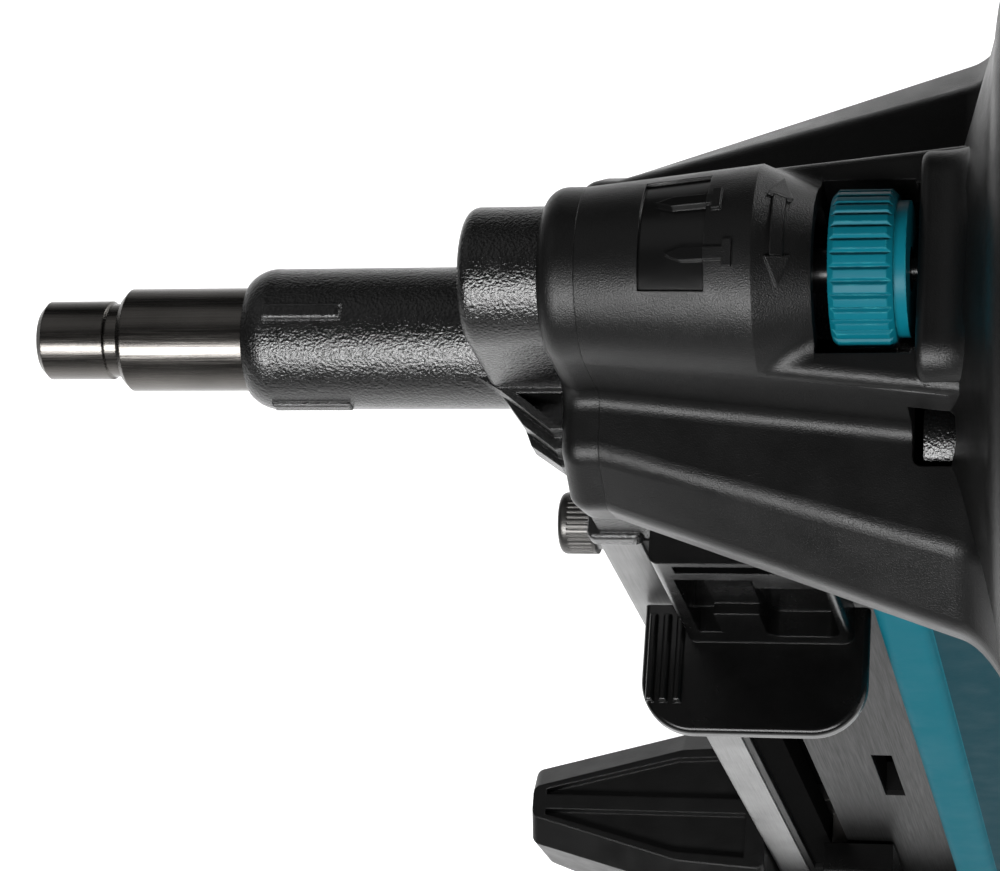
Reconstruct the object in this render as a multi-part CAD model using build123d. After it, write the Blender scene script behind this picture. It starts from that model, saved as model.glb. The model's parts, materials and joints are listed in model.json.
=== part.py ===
from build123d import *
import math
import os

# Gas nailer, in millimetres.
# The origin is the centre of the contact tip's front face, on the drive axis.
# X runs back along the drive axis, Y to the tool's right, Z up.

# Fits
SLIDE = 0.05
CLEAR = 0.4

# Contact probe and drive channel
TIP_RADIUS = 5.7
TIP_LENGTH = 12.6
NECK_START = 10.2
NECK_DEPTH = 0.4
SLEEVE_RADIUS = 7.43
PROBE_LENGTH = 50
DRIVE_BORE = 3.6
BLADE_RADIUS = 3.25

# Nose casting
BARREL_START = 32
BARREL_RADIUS = 10.1
RIB_HEIGHT = 0.6
BOSS_START = 68
BOSS_RADIUS = 9.8
FLANGE_START = 142
FLANGE_END = 150
FLANGE_RADIUS = 33
FLANGE_SCREW_CIRCLE = 26
ROD_Z = 6.0
ROD_RADIUS = 1.25

# Depth wheel, on its own axis above the drive axis
DIAL_Z = 22.9
WHEEL_RADIUS = 10.5
WHEEL_START = 117.7
WHEEL_END = 126.1
WHEEL_TEETH = 34
TOOTH_DEPTH = 0.6
TOOTH_GAP = 0.95
COLLAR_RADIUS = 9
COLLAR_LENGTH = 1.6
SPINDLE_RADIUS = 2.95
JOURNAL_RADIUS = 1.6
JOURNAL_END = 133
BEARING_RADIUS = 3.2
STOP_START = 109
STOP_LENGTH = 5

# Nose cover
RING_START = 79
SEAM = 84.6
COVER_FLARE_END = 131
COVER_END = 205
COVER_WALL = 2.4
BULGE_Z = 20.9
BULGE_RADIUS = 12.3
BULGE_TAPER = 0.1116
BODY_RADIUS = 54
SHELF_Z = 9.6
EDGE_Z = 7.8
VALLEY_RADIUS = 2.6

# Magazine
MAG_FRONT = 71
MAG_REAR = 117
MAG_HALF = 9.5
MAG_TOP = -63
MAG_BOTTOM = -302
RAIL_WIDTH = 7.2
RAIL_BOSS = 1.4
SHEET = 1.6
SHANK_HALF = 2.1
HEAD_HALF = 4.2
HEAD_START = 110
FOLLOWER_TOP = -262
FOLLOWER_LENGTH = 32

# Support foot and base plane
FOOT_FRONT = 17
FOOT_TOP = -277
BASE_Z = -330

# Housing
COLUMN_FRONT = 115
COLUMN_REAR = 168
COLUMN_HALF = 19.6
BAND_END = 123.5
BAND_HALF = 20.8
HOUSING_RADIUS = 54
HOUSING_WALL = 3
HOUSING_END = 368
HANDLE_FRONT = 262
HANDLE_REAR = 310
HANDLE_HALF = 17
BRIDGE_TOP = -286
BRIDGE_HALF = 21
BRIDGE_END = 345

# Engine
CYLINDER_BORE = 22
CYLINDER_RADIUS = 25
CYLINDER_END = 282
SLEEVE_BORE = 40
CHAMBER_SLEEVE_RADIUS = 43.5
CHAMBER_SLEEVE_START = 256
CHAMBER_SLEEVE_END = 346
HEAD_FACE = 352
HEAD_FLANGE = 364
PISTON_FRONT = 265
PISTON_REAR = 278

# Rear end
REAR_CAP_END = 420
FILTER_END = 439

# Contact link
YOKE_START = 85
YOKE_END = 90.5
LINK_Y = (11, 14)
LINK_Z = (-13, -7)
LINK_BEND_START = 110
LINK_BEND_END = 150
LINK_OUT = 29.2

# Nail guide, lugs and screws of the casting
GUIDE_FRONT = 72.2
GUIDE_HALF = 9
GUIDE_BOTTOM = -62
TONGUE_BOTTOM = -84
LUG_RADIUS = 6.3
LUG_START = 128.6
LUG_Y = 16.8
LUG_Z = 2.6
UPPER_SCREW = (-3.5, -71)
SCREW_HEAD_RADIUS = 5
SCREW_HEAD_LENGTH = 6
HEAD_ROUND = 1.0
KNURL_COUNT = 36
KNURL_RADIUS = 0.18

# Wheel window, side slots and raised signs of the nose cover
CONE_START = 108.2
CONE_END = 115.6
CONE_RADIUS = 11.6
FRAME_Z = 24.2
WINDOW_END = 128.8
WINDOW_HALF = 12.3
BUMP_FLAT_END = 130.4
BUMP_TOP = (138.6, 42.5)
BUMP_HALF = 16.4
BUMP_Z = 28
BUMP_ROUND = 5
FLARE_START = 133
FLARE_RATE = 0.12
NOSE_END = 140.5
SHOULDER = [(131, 22), (134, 28), (136.4, 36), (138.4, 43.5), (140.5, 51.4), (142.6, 53.4),
            (147, BODY_RADIUS)]
SLOT_X = (127.2, 133.5)
SLOT_Y = (11.4, 22.3)
PANEL_X = (93.2, 102)
PANEL_ANGLES = (-46, 30.6)
PANEL_DEPTH = 0.5
SIGN_HEIGHT = 0.45
NAIL_SIGNS = [(95.2, 97.5, 102.8, -21), (96.8, 99, 104.6, 11)]
ARROW_X = 111.4
ARROW_ANGLES = (-42.9, -25.4, 12.1, 29.4)

# Fan, motor and plug
FAN_SHAFT_RADIUS = 2.5
MOTOR_RADIUS = 16
MOTOR_START = HOUSING_END + 1
MOTOR_END = MOTOR_START + 39
PLUG_Z = 28
SEAL_X = HEAD_FACE + 3
GAS_Z = -34
FAN_BLADES = 6
FAN_X = (HEAD_FACE - 18, HEAD_FACE - 5)

# Handle, trigger and housing screws
HANDLE_TOP = -40
HANDLE_FOOT = BRIDGE_TOP - 10
FRONT_CURVE = [(0, HANDLE_TOP), (3, -75), (-2, -125), (4, -190), (1, -245), (-6, HANDLE_FOOT)]
REAR_CURVE = [(16, HANDLE_TOP), (-2, -78), (5, -135), (-1, -200), (4, -250), (10, HANDLE_FOOT)]
TRIGGER_Z = (-94, -61)
SCREW_PLACES = [
    (200, -308, BRIDGE_HALF),
    (288, -270, HANDLE_HALF),
    (298, -60, HANDLE_HALF),
    (290, -150, HANDLE_HALF),
]
VENT_X = (214, 246)
VENT_ANGLES = [sign * (58 + 12 * i) for sign in (-1, 1) for i in range(5)]
PANEL_SPAN = (262, 352)
PANEL_RISE = 21
BOSS_OUTER = 4.5
BOSS_BORE = 2.1
GRIP_Z = (-262, -92)
GRIP_HALF = 12.5
GRIP_THICK = 3.2
GRIP_RIBS = 11

# Fuel and battery
DOOR_X = (124, 162)
DOOR_PIN = (164.5, BASE_Z + 4.5)
FUEL_X = 143.4
TUBE_X = 152
TUBE_Z = -47.2
TUBE_RADIUS = 1.75
BATTERY_END = 382
BUTTON_X = (352, 370)
BATTERY_GROOVES = (-321, -317, -313, -309, -305)
GROOVE_WIDTH = 1.6
GROOVE_DEPTH = 0.8

# Follower and latch
KNOB_SLOT = (85.4, 89.6)
PLATE_WINDOW = (79.6, 90)
LATCH_X = (81.5, 109)
TAB_X = (74, 111.5)
TAB_Z = (-97, -93.5)
TAB_EDGE = -32


# Plain solids


def block(x, y, z):
    """Box between the pairs x, y and z."""
    size = [b - a for a, b in (x, y, z)]
    middle = [(a + b) / 2 for a, b in (x, y, z)]
    return Pos(*middle) * Box(*size)


def rod_x(radius, x0, x1, y=0, z=0):
    return Pos((x0 + x1) / 2, y, z) * Rot(0, 90, 0) * Cylinder(radius, x1 - x0)


def rod_y(radius, y0, y1, x=0, z=0):
    return Pos(x, (y0 + y1) / 2, z) * Rot(90, 0, 0) * Cylinder(radius, y1 - y0)


def rod_z(radius, z0, z1, x=0, y=0):
    return Pos(x, y, (z0 + z1) / 2) * Cylinder(radius, z1 - z0)


def tube_x(outer, inner, x0, x1):
    return rod_x(outer, x0, x1) - rod_x(inner, x0 - 1, x1 + 1)


def rounded(points, radius):
    """Flat outline with every corner rounded, or sharp where radius is 0."""
    following = points[1:] + points[:1]
    turning = sum(a * d - b * c for (a, b), (c, d) in zip(points, following))
    outline = Polygon(*(points if turning > 0 else points[::-1]), align=None)
    return fillet(outline.vertices(), radius) if radius else outline


def plan(points, z0, z1, radius=0):
    """Outline of (x, y) points raised from z0 to z1."""
    return extrude(Plane.XY.offset(z0) * rounded(points, radius), amount=z1 - z0)


def side(points, y0, y1, radius=0):
    """Outline of (x, z) points carried from y0 to y1."""
    return extrude(Plane.XZ.offset(-y1) * rounded(points, radius), amount=y1 - y0)


def across(points, x0, x1):
    """Outline of (y, z) points carried from x0 to x1."""
    return extrude(Plane.YZ.offset(x0) * rounded(points, 0), amount=x1 - x0)


def turned(points):
    """Solid of revolution about the drive axis from (x, radius) points."""
    return revolve(make_face(Polyline(*points, close=True)), Axis.X)


def mirrored(half):
    """Closed outline from the +Y half of a symmetrical list of points."""
    return half + [(-a, b) for a, b in reversed(half)]


def mirrored_plan(half):
    """Closed plan outline from the +Y half of a list of (x, y) points."""
    return half + [(a, -b) for a, b in reversed(half)]


# Nose


def contact_probe():
    return turned(
        [
            (0, DRIVE_BORE),
            (0, TIP_RADIUS - 0.9),
            (0.9, TIP_RADIUS),
            (NECK_START, TIP_RADIUS),
            (NECK_START + 0.3, TIP_RADIUS - NECK_DEPTH),
            (TIP_LENGTH, TIP_RADIUS - NECK_DEPTH),
            (TIP_LENGTH, SLEEVE_RADIUS - 0.9),
            (TIP_LENGTH + 0.9, SLEEVE_RADIUS),
            (PROBE_LENGTH, SLEEVE_RADIUS),
            (PROBE_LENGTH, DRIVE_BORE),
        ]
    )


def contact_rod():
    return rod_x(ROD_RADIUS, PROBE_LENGTH, YOKE_START, 0, ROD_Z)


def contact_link():
    """Yoke round the depth spindle, with a bar that runs back to the sleeve."""
    yoke_x = (YOKE_START, YOKE_END)
    yoke = block(yoke_x, (-3.5, 3.5), (4.8, DIAL_Z)) + rod_x(6, *yoke_x, 0, DIAL_Z)
    inner, outer = LINK_Y
    over_barrel = [(0, 10.7), (5, 10.7), (8.6, 7.2), (inner, 3.4), (inner, LINK_Z[0])]
    under_cover = [(outer, LINK_Z[0]), (outer, 3.4), (11.2, 5.6), (8.8, 9.2), (8.8, 14.5), (0, 14.5)]
    arm = across(over_barrel + under_cover, *yoke_x)
    bar = plan(
        [
            (YOKE_START, inner),
            (LINK_BEND_START, inner),
            (LINK_BEND_END, inner + LINK_OUT),
            (CHAMBER_SLEEVE_START, inner + LINK_OUT),
            (CHAMBER_SLEEVE_START, outer + LINK_OUT),
            (LINK_BEND_END - 1, outer + LINK_OUT),
            (LINK_BEND_START - 1, outer),
            (YOKE_START, outer),
        ],
        *LINK_Z,
    )
    hole = rod_x(SPINDLE_RADIUS + CLEAR, YOKE_START - 1, YOKE_END + 1, 0, DIAL_Z)
    return yoke + arm + bar - hole


def casting_barrel():
    mouth = 4.4
    body = rod_x(BARREL_RADIUS, BARREL_START + mouth, FLANGE_START)
    lip = make_face(
        [
            Line((BARREL_START, 0), (BARREL_START, 8.7)),
            ThreePointArc(
                (BARREL_START, 8.7), (BARREL_START + 1.5, 9.7), (BARREL_START + mouth, BARREL_RADIUS)
            ),
            Line((BARREL_START + mouth, BARREL_RADIUS), (BARREL_START + mouth, 0)),
            Line((BARREL_START + mouth, 0), (BARREL_START, 0)),
        ]
    )
    body += revolve(lip, Axis.X)
    rib = block((35.5, 47), (-1.1, 1.1), (BARREL_RADIUS - 2, BARREL_RADIUS + RIB_HEIGHT))
    rib = fillet(rib.edges().group_by(Axis.Z)[-1], RIB_HEIGHT * 0.8)
    for quarter in range(4):
        body += Rot(90 * quarter, 0, 0) * rib
    return body


def casting_boss():
    """Upright obround that holds the front end of the depth spindle."""
    outline = Pos(0, BULGE_Z) * Circle(BOSS_RADIUS)
    outline += Pos(0, BULGE_Z / 2) * Rectangle(2 * BOSS_RADIUS, BULGE_Z)
    boss = extrude(Plane.YZ.offset(BOSS_START) * outline, amount=SEAM - 0.4 - BOSS_START)
    return fillet(boss.faces().sort_by(Axis.X)[0].edges(), 1.8)


def casting_gussets():
    """Side wings in three steps, the upper one hollowed between two ribs."""
    rear = SEAM - 0.4
    upper = [(66, 8), (70, 10.4), (77.4, 16.1), (rear, 16.1), (rear, 8)]
    middle = [(68, 8), (72.8, 14.3), (77.6, 17.9), (rear, 17.9), (rear, 8)]
    lower = [(70.5, 8), (71.8, 12.3), (73.4, 16.1), (77.9, 19.2), (rear, 19.2), (rear, 8)]
    hollow = [(72.2, 10.7), (78.4, 15.4), (rear - 1, 15.4), (rear - 1, 10.7)]
    wings = Part()
    for sign in (-1, 1):
        for z0, z1, outline in ((-4, -0.5, lower), (-0.5, 3, middle), (3, 6, upper)):
            wings += plan([(x, sign * y) for x, y in outline], z0, z1)
        wings -= plan([(x, sign * y) for x, y in hollow], 2, 7)
    return wings


def nail_slot(z0, z1):
    """T-shaped passage for nails: narrow for shanks, wide for heads."""
    shanks = block((MAG_FRONT + 2.4, MAG_REAR - 2), (-SHANK_HALF, SHANK_HALF), (z0, z1))
    heads = block((HEAD_START, MAG_REAR - 2), (-HEAD_HALF, HEAD_HALF), (z0, z1))
    return shanks + heads


def casting_guide():
    """Nail guide under the barrel, with its flanges and the magazine tongue."""
    guide = block((GUIDE_FRONT, 118), (-GUIDE_HALF, GUIDE_HALF), (GUIDE_BOTTOM, -5))
    shelf = plan(
        mirrored_plan([(GUIDE_FRONT, 9), (76, 11), (SEAM - 0.4, 12), (SEAM - 0.4, 0)]), -26, -9
    )
    lower_flange = plan(
        mirrored_plan([(70, 10.1), (79, 10.1)]), GUIDE_BOTTOM, GUIDE_BOTTOM + 3, 1.5
    )
    lower_flange = fillet(lower_flange.faces().sort_by(Axis.Z)[-1].edges(), 0.8)
    inside = MAG_HALF - SHEET - 0.1
    tongue = block(
        (MAG_FRONT + SHEET + 0.1, MAG_REAR - 2.2), (-inside, inside), (TONGUE_BOTTOM, GUIDE_BOTTOM)
    )
    return guide + shelf + lower_flange + tongue


def link_way(x0, x1):
    """Room in the flanges for the link bar through its whole travel."""
    return block((x0, x1), (20, 40), (LINK_Z[0] - 1, LINK_Z[1] + 1))


def casting_rear():
    """Rear spindle bearing, stop rest and the flange that meets the cylinder."""
    x = (WINDOW_END + 0.4, JOURNAL_END + 0.4)
    bearing = block(x, (-BEARING_RADIUS, BEARING_RADIUS), (8, DIAL_Z))
    bearing += rod_x(BEARING_RADIUS, *x, 0, DIAL_Z)
    bearing -= rod_x(JOURNAL_RADIUS + SLIDE, x[0] - 1, x[1] + 1, 0, DIAL_Z)
    rest = block((107.5, 117), (-6, 6), (7, 13.2))
    flange = rod_x(FLANGE_RADIUS, FLANGE_START, FLANGE_END)
    body = bearing + rest + flange - link_way(FLANGE_START - 1, FLANGE_END + 1)
    for sign in (-1, 1):
        body += rod_x(LUG_RADIUS, LUG_START, FLANGE_START, sign * LUG_Y, LUG_Z)
    return body


def screw_circle():
    """Places of the four flange screws, as (y, z)."""
    reach = FLANGE_SCREW_CIRCLE / math.sqrt(2)
    return [(a * reach, b * reach) for a in (-1, 1) for b in (-1, 1)]


def nose_casting():
    body = casting_barrel() + casting_boss() + casting_gussets() + casting_guide() + casting_rear()
    body -= rod_x(SLEEVE_RADIUS + SLIDE, BARREL_START - 1, BOSS_START - 1)
    body -= rod_x(DRIVE_BORE, BOSS_START - 2, FLANGE_END + 1)
    body -= rod_x(ROD_RADIUS + SLIDE, BOSS_START - 2, SEAM, 0, ROD_Z)
    body -= block((SEAM - 0.5, 107.2), (-4, 4), (4.4, DIAL_Z))
    body -= rod_x(SPINDLE_RADIUS + SLIDE, 72, WINDOW_END, 0, DIAL_Z)
    body -= wheel_room()
    body -= nail_slot(TONGUE_BOTTOM - 1, 0)
    for y, z in screw_circle():
        body -= rod_x(2.7, FLANGE_START - 1, FLANGE_END + 1, y, z)
    return body - rod_x(3.1, MAG_FRONT, 90, *UPPER_SCREW)


def cap_screw(x_face, x_end, y, z, shank=2.95, head=SCREW_HEAD_RADIUS):
    """Socket head cap screw along X with its head in front of x_face."""
    top = x_face - SCREW_HEAD_LENGTH
    screw = rod_x(head, top, x_face, y, z)
    screw = fillet(screw.faces().sort_by(Axis.X)[0].edges(), HEAD_ROUND)
    screw += rod_x(shank, x_face, x_end, y, z)
    socket = Plane.YZ.offset(top) * Pos(y, z) * RegularPolygon(head * 0.55, 6)
    return screw - extrude(socket, amount=3)


def magazine_screws():
    face = MAG_FRONT - RAIL_BOSS
    screw = cap_screw(face, 88, *UPPER_SCREW)
    groove = rod_x(KNURL_RADIUS, face - SCREW_HEAD_LENGTH + 1.6, face - 0.6, SCREW_HEAD_RADIUS, 0)
    pitch = 360 / KNURL_COUNT
    knurl = [Pos(0, *UPPER_SCREW) * Rot(pitch * i, 0, 0) * groove for i in range(KNURL_COUNT)]
    return [screw - knurl]


def nose_screws():
    return [
        cap_screw(FLANGE_START, FLANGE_END + 5, y, z, 2.6, 4.3) for y, z in screw_circle()
    ]


def depth_wheel():
    """Knurled wheel with chamfered ridges and a plain collar behind it."""
    disc = rod_x(WHEEL_RADIUS, WHEEL_START, WHEEL_END, 0, DIAL_Z)
    disc = chamfer(disc.edges(), 0.8)
    rim = WHEEL_RADIUS + 0.2
    half = TOOTH_GAP / 2 + 0.1
    gap = [(-half, rim), (half, rim), (0, WHEEL_RADIUS - TOOTH_DEPTH)]
    cutter = across(gap, WHEEL_START - 1, WHEEL_END + 1)
    pitch = 360 / WHEEL_TEETH
    gaps = [Pos(0, 0, DIAL_Z) * Rot(pitch * i, 0, 0) * cutter for i in range(WHEEL_TEETH)]
    collar = rod_x(COLLAR_RADIUS, WHEEL_END, WHEEL_END + COLLAR_LENGTH, 0, DIAL_Z)
    bore = rod_x(SPINDLE_RADIUS, WHEEL_START - 1, WHEEL_END + 3, 0, DIAL_Z)
    return disc - gaps + collar - bore


def wheel_room():
    """Space that the wheel turns in."""
    return rod_x(WHEEL_RADIUS + 0.6, WHEEL_START - 0.6, WHEEL_END + 2.4, 0, DIAL_Z)


def depth_spindle():
    journal = rod_x(JOURNAL_RADIUS, WHEEL_END, JOURNAL_END, 0, DIAL_Z)
    return rod_x(SPINDLE_RADIUS, 73, WHEEL_END + COLLAR_LENGTH, 0, DIAL_Z) + journal


def depth_stop():
    """Stop that the yoke meets, with a flat foot that keeps it from turning."""
    x = (STOP_START, STOP_START + STOP_LENGTH)
    body = rod_x(6.2, *x, 0, DIAL_Z) + block(x, (-5, 5), (13.6, DIAL_Z))
    return body - rod_x(SPINDLE_RADIUS + SLIDE, STOP_START - 1, x[1] + 1, 0, DIAL_Z)


# Nose cover


def bulge_radius(x):
    return BULGE_RADIUS + BULGE_TAPER * (x - SEAM)


def cover_outline(x, arch, shrink=0.0):
    """Cross-section of the cover at x: an arched bulge on a flared body."""
    t = (x - SEAM) / (COVER_FLARE_END - SEAM)
    sweep = FLARE_RATE * max(0.0, x - FLARE_START) ** 2
    edge = 20.5 + 12.4 * t + 0.8 * sweep
    widest = 25.2 + 16.2 * t + sweep
    bottom = -16 - 6 * t - 0.6 * sweep
    half = [
        (arch - 4, SHELF_Z + 0.9 * sweep - shrink),
        (edge - shrink * 0.6, EDGE_Z + 0.8 * sweep - shrink),
        (widest - shrink, -1.2),
        (widest - 1.5 - shrink, -10),
        (widest - 9 - shrink, bottom + shrink),
    ]
    body = rounded(mirrored(half), 3.8)
    arched = Pos(0, BULGE_Z) * Circle(arch) + Pos(0, BULGE_Z / 2) * Rectangle(2 * arch, BULGE_Z)
    whole = body + arched
    valleys = [v for v in whole.vertices() if abs(abs(v.X) - arch) < 0.01 and 0 < v.Y < BULGE_Z - 2]
    return Plane.YZ.offset(x) * fillet(valleys, VALLEY_RADIUS)


def cover_loft(x0, x1, arch0, arch1, shrink=0.0):
    return loft([cover_outline(x0, arch0, shrink), cover_outline(x1, arch1, shrink)], ruled=True)


def cover_flare(arch, shrink=0.0):
    """Rear end of the nose, which sweeps out to meet the shoulder."""
    steps = 5
    length = NOSE_END - FLARE_START
    places = [FLARE_START + length * i / steps for i in range(steps + 1)]
    return loft([cover_outline(x, arch, shrink) for x in places])


def cover_nose():
    """Front of the cover: a tapered bulge that a cone brings down to the flat window frame."""
    end_radius = bulge_radius(FLARE_START)
    body = cover_loft(SEAM, FLARE_START, bulge_radius(SEAM), end_radius) + cover_flare(end_radius)
    cone_length = CONE_END - CONE_START
    cone = Rot(0, 90, 0) * Cone(bulge_radius(CONE_START), CONE_RADIUS, cone_length)
    above = block((CONE_START, NOSE_END + 1), (-30, 30), (FRAME_Z, 60))
    body -= above - Pos((CONE_START + CONE_END) / 2, 0, BULGE_Z) * cone
    lips = [e for e in body.edges() if abs(e.center().Z - FRAME_Z) < 0.01
            and abs(e.center().Y) > WINDOW_HALF + 1 and e.length > 10]
    body = fillet(lips, 2)
    corners = [e for e in body.edges() if e.geom_type == GeomType.HYPERBOLA]
    return fillet(corners, 3)


def cover_room():
    """Inside of the nose: narrow under the bulge, as wide as the window behind it."""
    front = cover_loft(SEAM - 1, CONE_END, BULGE_RADIUS - COVER_WALL, CONE_RADIUS - COVER_WALL, COVER_WALL)
    rear = cover_loft(CONE_END, FLARE_START, WINDOW_HALF, WINDOW_HALF, COVER_WALL)
    return front + rear + cover_flare(WINDOW_HALF, COVER_WALL)


def cover_shoulder(inset=0.0):
    """Shoulder that sweeps out to the barrel of the cover, turned about the drive axis."""
    shift = inset * 0.9
    points = [(x + shift, radius - inset) for x, radius in SHOULDER]
    start = points[0][0]
    end = COVER_END + (1 if inset else 0)
    lines = [
        Line((start, 0), points[0]),
        Spline(*points, tangents=((1, 1), (1, 0))),
        Line(points[-1], (end, BODY_RADIUS - inset)),
        Line((end, BODY_RADIUS - inset), (end, 0)),
        Line((end, 0), (start, 0)),
    ]
    return revolve(make_face(lines), Axis.X)


def cover_bump():
    """Rounded block that closes the window behind the wheel and sweeps up the shoulder."""
    low = FRAME_Z - 2
    top_x, top_z = BUMP_TOP
    lines = [
        Line((WINDOW_END, low), (WINDOW_END, BUMP_Z)),
        Line((WINDOW_END, BUMP_Z), (BUMP_FLAT_END, BUMP_Z)),
        Spline((BUMP_FLAT_END, BUMP_Z), BUMP_TOP, tangents=((1, 0), (1, 3))),
        Line(BUMP_TOP, (top_x, low)),
        Line((top_x, low), (WINDOW_END, low)),
    ]
    bump = extrude(Plane.XZ * make_face(lines), amount=BUMP_HALF, both=True)
    rims = [e for e in bump.edges() if abs(abs(e.center().Y) - BUMP_HALF) < 0.01
            and BUMP_Z - 0.01 < e.center().Z < top_z - 0.5 and e.center().X < top_x - 0.1]
    bump = fillet(rims, BUMP_ROUND)
    front = [e for e in bump.edges() if abs(e.center().X - WINDOW_END) < 0.01 and e.center().Z > low + 0.1]
    return fillet(front, 1.2)


def cover_cuts():
    """Openings: wheel window, side slots, nail guide, fuel tube, and room for lugs and screws."""
    cuts = block((CONE_END, WINDOW_END - 0.8), (-WINDOW_HALF, WINDOW_HALF), (BULGE_Z - 4, 60))
    cuts += wheel_room()
    cuts += block((WINDOW_END - 1, JOURNAL_END + 1), (-4, 4), (8, DIAL_Z + BEARING_RADIUS + 0.3))
    for sign in (-1, 1):
        for inner_y, top in ((SLOT_Y[0], 17), (BUMP_HALF + 1.2, 30)):
            corners = [(x, sign * y) for x, y in
                       ((SLOT_X[0], inner_y), (SLOT_X[1], inner_y), (SLOT_X[1], SLOT_Y[1]),
                        (SLOT_X[0], SLOT_Y[1]))]
            cuts += plan(corners, 3, top, 1.4)
        cuts += rod_x(LUG_RADIUS + CLEAR, LUG_START - 1, FLANGE_START, sign * LUG_Y, LUG_Z)
    for y, z in screw_circle():
        cuts += rod_x(4.3 + CLEAR, FLANGE_START - SCREW_HEAD_LENGTH - CLEAR, FLANGE_START, y, z)
    cuts += block((SEAM - 1, 120), (-GUIDE_HALF - 3.4, GUIDE_HALF + 3.4), (-40, -6))
    return cuts + rod_z(3, -BODY_RADIUS - 2, -BODY_RADIUS + 4, TUBE_X)


def round_bulge(angle):
    """Turn about the bulge's axis; positive angles lie towards the tool's left."""
    return Pos(0, 0, BULGE_Z) * Rot(angle, 0, 0)


def sector(profile, angles):
    """Profile of (x, radius) points swept about the bulge's axis between two angles."""
    first, last = angles
    flat = Plane.XZ * make_face(Polyline(*profile, close=True))
    return round_bulge(first) * revolve(flat, Axis.X, last - first)


def sign_panel():
    """Shallow sunk panel on the bulge."""
    x0, x1 = PANEL_X
    low = [(x, bulge_radius(x) - PANEL_DEPTH) for x in PANEL_X]
    return sector(low + [(x1, bulge_radius(x1) + 2), (x0, bulge_radius(x0) + 2)], PANEL_ANGLES)


def nail_sign(tip, shoulder, head, angle):
    """Raised outline of a nail on the bulge."""
    shank = 0.85
    outline = [(0, 0), (shoulder - tip, -shank), (head - tip, -shank), (head - tip, -1.8),
               (head - tip + 1.2, -1.8), (head - tip + 1.2, 1.8), (head - tip, 1.8),
               (head - tip, shank), (shoulder - tip, shank)]
    nail = plan(outline, -PANEL_DEPTH - 0.2, SIGN_HEIGHT)
    lean = -math.degrees(math.atan(BULGE_TAPER))
    return round_bulge(angle) * Pos(tip, 0, bulge_radius(tip)) * Rot(0, lean, 0) * nail


def arrow_sign():
    """Raised arrow with two heads, round the cone in front of the wheel."""
    slope = (bulge_radius(CONE_START) - CONE_RADIUS) / (CONE_END - CONE_START)
    radius = bulge_radius(CONE_START) - slope * (ARROW_X - CONE_START)
    shaft = [(ARROW_X + a, radius - slope * a + b) for a, b in
             ((-0.8, -0.4), (0.8, -0.4), (0.8, SIGN_HEIGHT), (-0.8, SIGN_HEIGHT))]
    tip0, base0, base1, tip1 = ARROW_ANGLES
    arrow = sector(shaft, (base0, base1))
    for base, tip in ((base0, tip0), (base1, tip1)):
        reach = math.radians(tip - base) * radius
        head = plan([(-1.7, reach / 2), (1.7, reach / 2), (0, -reach / 2)], -0.5, SIGN_HEIGHT)
        lean = math.degrees(math.atan(slope))
        arrow += round_bulge((base + tip) / 2) * Pos(ARROW_X, 0, radius) * Rot(0, lean, 0) * head
    return arrow


def nose_cover():
    body = cover_nose() + cover_shoulder()
    body -= cover_room() + cover_shoulder(COVER_WALL)
    body = body + (cover_bump() - cover_shoulder(COVER_WALL)) - cover_cuts() - sign_panel()
    for place in NAIL_SIGNS:
        body += nail_sign(*place)
    return body + arrow_sign()


def nose_cover_ring():
    """Front ring of the cover, with a rounded front edge."""
    outer = extrude(cover_outline(SEAM, BULGE_RADIUS), amount=RING_START - SEAM)
    outer = fillet(outer.faces().sort_by(Axis.X)[0].edges(), 3)
    wall = COVER_WALL - 0.6
    inner = extrude(cover_outline(SEAM, BULGE_RADIUS - wall, wall), amount=-20)
    guide = block((70, 90), (-18.5, 18.5), (-40, -6))
    return outer - inner - guide


# Engine


def cylinder():
    body = tube_x(CYLINDER_RADIUS, CYLINDER_BORE, FLANGE_END, CYLINDER_END)
    body += tube_x(FLANGE_RADIUS, DRIVE_BORE + 2, FLANGE_END, FLANGE_END + 6)
    body += tube_x(SLEEVE_BORE - 0.1, CYLINDER_BORE, CYLINDER_END - 8, CYLINDER_END)
    for i in range(5):
        x = 178 + 10 * i
        body += tube_x(CYLINDER_RADIUS + 5, CYLINDER_BORE, x, x + 2)
    groove = tube_x(SLEEVE_BORE + 1, SLEEVE_BORE - 2.6, CYLINDER_END - 5.6, CYLINDER_END - 2.4)
    body -= link_way(FLANGE_END - 1, FLANGE_END + 6.5)
    for y, z in screw_circle():
        body -= rod_x(2.6, FLANGE_END - 1, FLANGE_END + 7, y, z)
    for angle in range(0, 360, 60):
        body -= Rot(angle, 0, 0) * rod_z(2.2, CYLINDER_BORE - 4, CYLINDER_RADIUS + 4, 168)
    return body - groove


def cylinder_seal():
    return tube_x(SLEEVE_BORE - 0.06, SLEEVE_BORE - 2.6, CYLINDER_END - 5.4, CYLINDER_END - 2.6)


def bumper():
    """Rubber buffer at the front of the cylinder."""
    start = FLANGE_END + 6
    return turned(
        [
            (start, BLADE_RADIUS + 2.5),
            (start, CYLINDER_BORE - 0.6),
            (start + 5, CYLINDER_BORE - 0.6),
            (start + 9, CYLINDER_BORE - 4),
            (start + 9, BLADE_RADIUS + 2.5),
        ]
    )


def piston():
    body = rod_x(CYLINDER_BORE - SLIDE, PISTON_FRONT, PISTON_REAR)
    groove = tube_x(CYLINDER_BORE + 1, CYLINDER_BORE - 2.5, PISTON_FRONT + 5, PISTON_FRONT + 8)
    recess = rod_x(13, PISTON_REAR - 4, PISTON_REAR + 1)
    return body - groove - recess - rod_x(BLADE_RADIUS, PISTON_FRONT - 1, PISTON_FRONT + 6)


def piston_ring():
    return tube_x(
        CYLINDER_BORE - SLIDE, CYLINDER_BORE - 2.5, PISTON_FRONT + 5.02, PISTON_FRONT + 7.98
    )


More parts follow.
